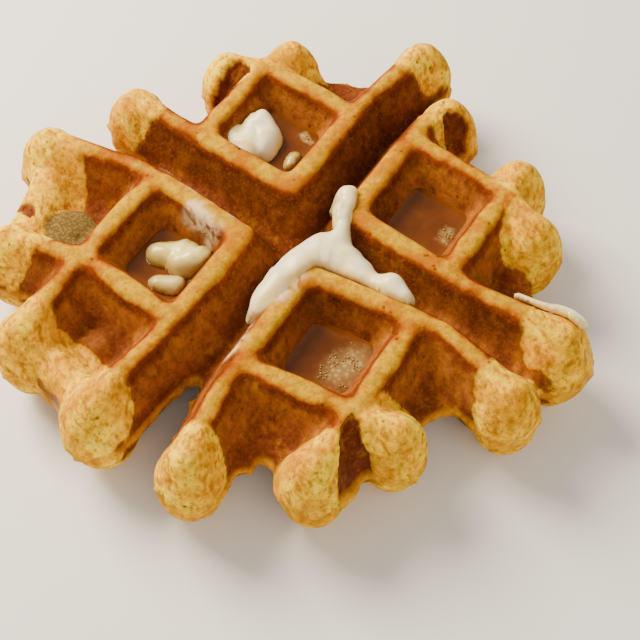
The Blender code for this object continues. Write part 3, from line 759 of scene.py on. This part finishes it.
def butter_tree(butter_sizes):
    """Swells a pat, sinks its underside until it touches the crust, and gives it soft folds."""
    tree, sizes = geometry_tree("slumped_pat", butter_sizes)
    position = add(tree, "GeometryNodeInputPosition")
    normal = add(tree, "GeometryNodeInputNormal")
    facing = add(tree, "ShaderNodeSeparateXYZ", (normal,)).outputs["Z"]
    rolling = wander(tree, position, 10.526, 1.0, 1.5, distortion=1.6)
    upper = add(tree, "ShaderNodeMapRange", (facing, 0.0, 0.7), **EASED)
    upper_folds = add(tree, "ShaderNodeMath", (rolling, upper), operation="MULTIPLY")
    folded = add(tree, "ShaderNodeMath", (upper_folds, sizes["Fold Height"]), operation="MULTIPLY")
    swell = add(tree, "ShaderNodeMath", (folded, sizes["Cling"]), operation="ADD")
    swollen = add(tree, "ShaderNodeVectorMath", (normal, swell), operation="SCALE")
    lower = add(tree, "ShaderNodeMapRange", (facing, 0.25, -0.4), **EASED)
    depth = add(tree, "ShaderNodeMath", (lower, sizes["Sink"]), operation="MULTIPLY")
    drop = add(tree, "ShaderNodeMath", (depth, -1.0), operation="MULTIPLY")
    sunk = add(tree, "ShaderNodeCombineXYZ", {"Z": drop})
    offset = add(tree, "ShaderNodeVectorMath", (swollen, sunk), operation="ADD")
    plan = add(tree, "ShaderNodeVectorMath", (position, (1.0, 1.0, 0.0)), operation="MULTIPLY")
    to_border = distance_to(tree, sizes["Outline"], plan)
    thinning = (to_border, sizes["Thin Edge"], sizes["Thinnest"])
    thin = add(tree, "ShaderNodeMapRange", thinning, **EASED)
    kept = {"Geometry": sizes["Geometry"], "Name": "thin", "Value": thin}
    shape = add(tree, "GeometryNodeStoreNamedAttribute", kept, data_type="FLOAT", domain="POINT")
    moved = add(tree, "GeometryNodeSetPosition", {"Geometry": shape, "Offset": offset})
    real = add(tree, "GeometryNodeRealizeInstances", {"Geometry": moved})
    dressed = add(tree, "GeometryNodeSetMaterial", {"Geometry": real, "Material": sizes["Butter"]})
    add(tree, "NodeGroupOutput", {"Geometry": dressed})
    return tree


def plan_border(piece):
    """A piece's border seen from above: the edges between its upper and lower faces, laid flat."""
    shell = bmesh.new()
    shell.from_mesh(piece.data)
    shell.normal_update()
    pairs = []
    for edge in shell.edges:
        upwards = [face.normal.z > 0 for face in edge.link_faces]
        if len(upwards) == 2 and upwards[0] != upwards[1]:
            pairs.append([tuple(v.co.xy / MM) for v in edge.verts])
    shell.free()
    return guide("border_guide", pairs)


# The middle piece bulges over the groove beside its left arm and its stub, and the far one leans
# on a ridge: the place and the half widths of each bulge
BULGES = {
    "butter_centre": [
        ((9.6, -6.2, 27.6), (3.2, 1.9, 2.6)),
        ((7.0, -7.6, 27.6), (2.6, 1.8, 2.4)),
        ((-9.0, -6.0, 26.0), (6.5, 3.6, 3.8)),
        ((-14.5, -5.2, 25.6), (7.0, 3.6, 3.8)),
        ((-19.5, -4.9, 25.0), (5.6, 3.4, 3.4)),
    ],
    "butter_far": [
        ((16.8, 27.4, 22.6), (4.0, 5.4, 2.3)),
        ((17.0, 31.8, 22.6), (3.0, 3.6, 1.8)),
    ],
}

for node_name in [n for n in nodes if n.startswith("butter")]:
    pat = merged_copy(node_name + "_pat", node_name)
    border_guide = plan_border(pat)
    add_balls(pat, BULGES.get(node_name, []))
    butter_sizes = {"Outline": border_guide, **BUTTER_SIZES}
    if node_name == "butter_strip":
        butter_sizes.update(STRIP_SIZES)
    if node_name in MELTING:
        butter_sizes.update(MELTING_SIZES)
        lowest = min(v.co.z for v in pat.data.vertices)
        base = Matrix.Translation((0, 0, lowest))
        lowered = Matrix.Diagonal((1.0, 1.0, MELTED_HEIGHT, 1.0))
        pat.data.transform(base @ lowered @ base.inverted())
    close_grain(pat, voxel=0.4, rounds=10)
    grow(pat, butter_tree(butter_sizes), butter_sizes)
    bpy.data.objects.remove(border_guide)
    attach(pat, "root")
    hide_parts(node_name)


# The set: a plain pale floor of matt paint, soft light from a window behind on the left, a weaker
# one from in front, and the camera. None of it belongs to the waffle.

FLOOR_SIZE = 1200.0


def pale_paint(tree, shader):
    """Matt, faintly bluish white paint."""
    feed(tree, shader, {"Base Color": linear("#eef4ff"), "Roughness": 0.6})


bpy.ops.mesh.primitive_plane_add(size=FLOOR_SIZE * MM, location=(0, 0, 0))
floor = bpy.context.object
floor.name = "floor"
floor.data.materials.append(material("pale_paint", pale_paint))


def area_light(name, place, size, power):
    """A square soft light that faces the waffle."""
    lamp = bpy.data.lights.new(name, "AREA")
    lamp.shape = "SQUARE"
    lamp.size = size * MM
    lamp.energy = power
    lamp.color = linear("#ffe9c8")[:3]
    made = bpy.data.objects.new(name, lamp)
    bpy.context.scene.collection.objects.link(made)
    made.location = Vector(place) * MM
    made.rotation_euler = Vector(place).to_track_quat("Z", "Y").to_euler()
    return made


area_light("window_light", place=(60, 520, 480), size=380, power=14.5)
area_light("fill_light", place=(-260, -420, 520), size=600, power=2.2)

world = bpy.data.worlds.new("soft_room")
world.use_nodes = True
background = world.node_tree.nodes["Background"]
feed(world.node_tree, background, {"Color": linear("#fff2de"), "Strength": 0.48})
bpy.context.scene.world = world

# The photograph was taken from close by, looking down across the near corner
CAMERA_AZIMUTH = math.radians(-56.33)
CAMERA_ELEVATION = math.radians(58.2)
CAMERA_DISTANCE = 320.0
CAMERA_TARGET = Vector((-5.26, -9.21, 0))
LENS = 71.5

camera_data = bpy.data.cameras.new("camera")
camera_data.lens = LENS
camera_data.sensor_width = 36.0
camera = bpy.data.objects.new("camera", camera_data)
bpy.context.scene.collection.objects.link(camera)
level_share = math.cos(CAMERA_ELEVATION)
back = Vector(
    (
        math.sin(CAMERA_AZIMUTH) * level_share,
        -math.cos(CAMERA_AZIMUTH) * level_share,
        math.sin(CAMERA_ELEVATION),
    )
)
camera.location = (CAMERA_TARGET + back * CAMERA_DISTANCE) * MM
camera.rotation_euler = back.to_track_quat("Z", "Y").to_euler()
bpy.context.scene.camera = camera
